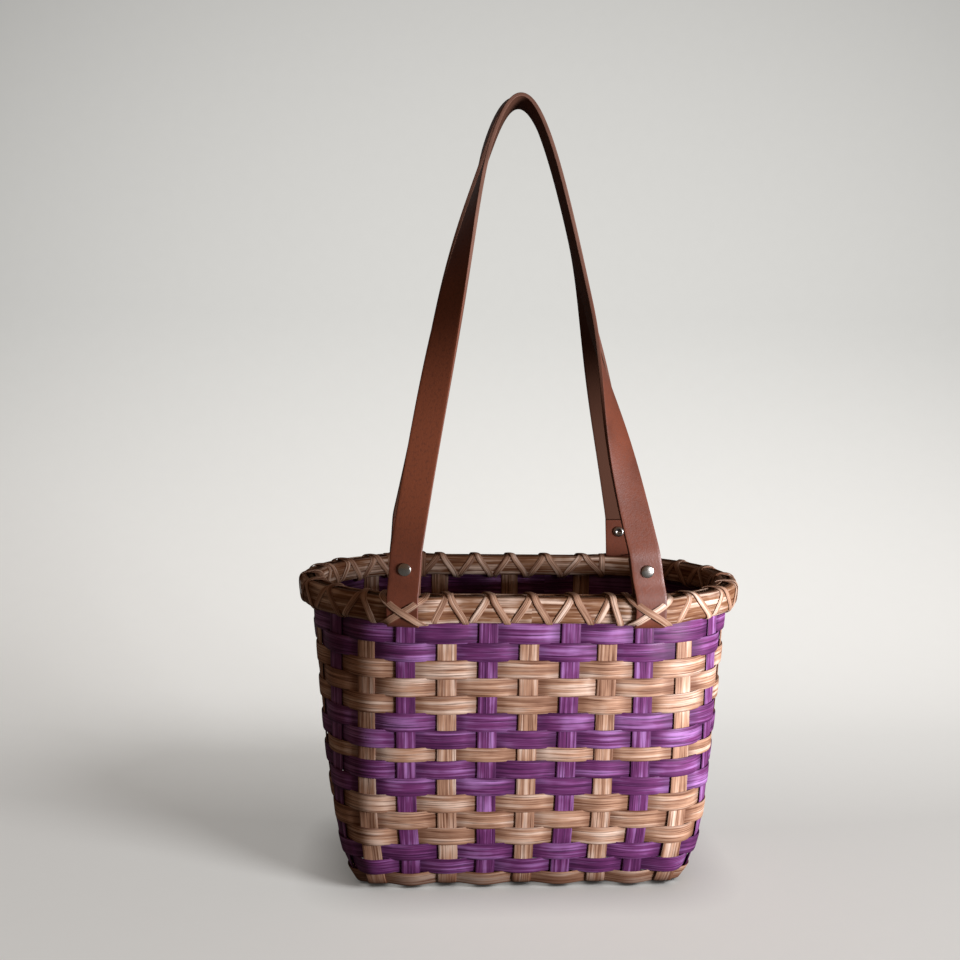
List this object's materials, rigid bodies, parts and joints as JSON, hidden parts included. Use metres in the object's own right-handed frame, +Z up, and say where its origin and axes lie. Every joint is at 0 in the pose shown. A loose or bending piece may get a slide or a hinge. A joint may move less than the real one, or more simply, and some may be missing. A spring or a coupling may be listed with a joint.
{
  "type": "woven tote basket",
  "caption": "Flat-reed tote basket with dyed bands, a lashed rim and two leather shoulder straps that fold out to the sides.",
  "frame": {"origin": "middle of the base's underside", "axes": "+Z up, +X along the long side to the right seen from the front, -Y to the front"},
  "size_m": [0.3452, 0.2107, 0.5936],
  "materials": {
    "natural_reed": "matte natural flat reed",
    "dyed_reed": "matte purple dyed flat reed",
    "rim_reed": "satin flat-oval reed",
    "lashing_reed": "satin narrow flat-oval reed",
    "filler_cord": "twisted grass cord",
    "leather": "satin brown strap leather",
    "nickel": "nickel plated"
  },
  "bodies": {
    "basket": {"cross_stake_1": "natural_reed", "cross_stake_2": "dyed_reed", "cross_stake_3": "natural_reed", "cross_stake_4": "dyed_reed", "cross_stake_5": "natural_reed", "cross_stake_6": "dyed_reed", "cross_stake_7": "natural_reed", "cross_stake_8": "dyed_reed", "cross_stake_9": "natural_reed", "long_stake_1": "dyed_reed", "long_stake_2": "natural_reed", "long_stake_3": "dyed_reed", "long_stake_4": "natural_reed", "long_stake_5": "dyed_reed", "weaver_row_01": "natural_reed", "weaver_row_02": "dyed_reed", "weaver_row_03": "dyed_reed", "weaver_row_04": "natural_reed", "weaver_row_05": "natural_reed", "weaver_row_06": "natural_reed", "weaver_row_07": "dyed_reed", "weaver_row_08": "dyed_reed", "weaver_row_09": "natural_reed", "weaver_row_10": "dyed_reed", "weaver_row_11": "dyed_reed", "weaver_row_12": "natural_reed", "weaver_row_13": "natural_reed", "weaver_row_14": "natural_reed", "weaver_row_15": "dyed_reed", "weaver_row_16": "dyed_reed", "rim_row": "natural_reed", "outer_rim": "rim_reed", "inner_rim": "rim_reed", "rim_filler": "filler_cord", "rim_lashing_under": "lashing_reed", "rim_lashing_over": "lashing_reed", "front_left_strap_end": "leather", "front_right_strap_end": "leather", "rear_right_strap_end": "leather", "rear_left_strap_end": "leather", "front_left_post": "nickel", "front_left_screw": "nickel", "front_right_post": "nickel", "front_right_screw": "nickel", "rear_right_post": "nickel", "rear_right_screw": "nickel", "rear_left_post": "nickel", "rear_left_screw": "nickel"},
    "front_handle": {"front_strap": "leather"},
    "rear_handle": {"rear_strap": "leather"}
  },
  "joints": [
    {"name": "front_strap_fold", "type": "hinge", "parent": "basket", "child": "front_handle", "pos_m": [0, -0.09971, 0.25956], "axis": [1, 0, 0], "range_deg": [0, 140]},
    {"name": "rear_strap_fold", "type": "hinge", "parent": "basket", "child": "rear_handle", "pos_m": [0, 0.09971, 0.25956], "axis": [-1, 0, 0], "range_deg": [0, 140]}
  ]
}
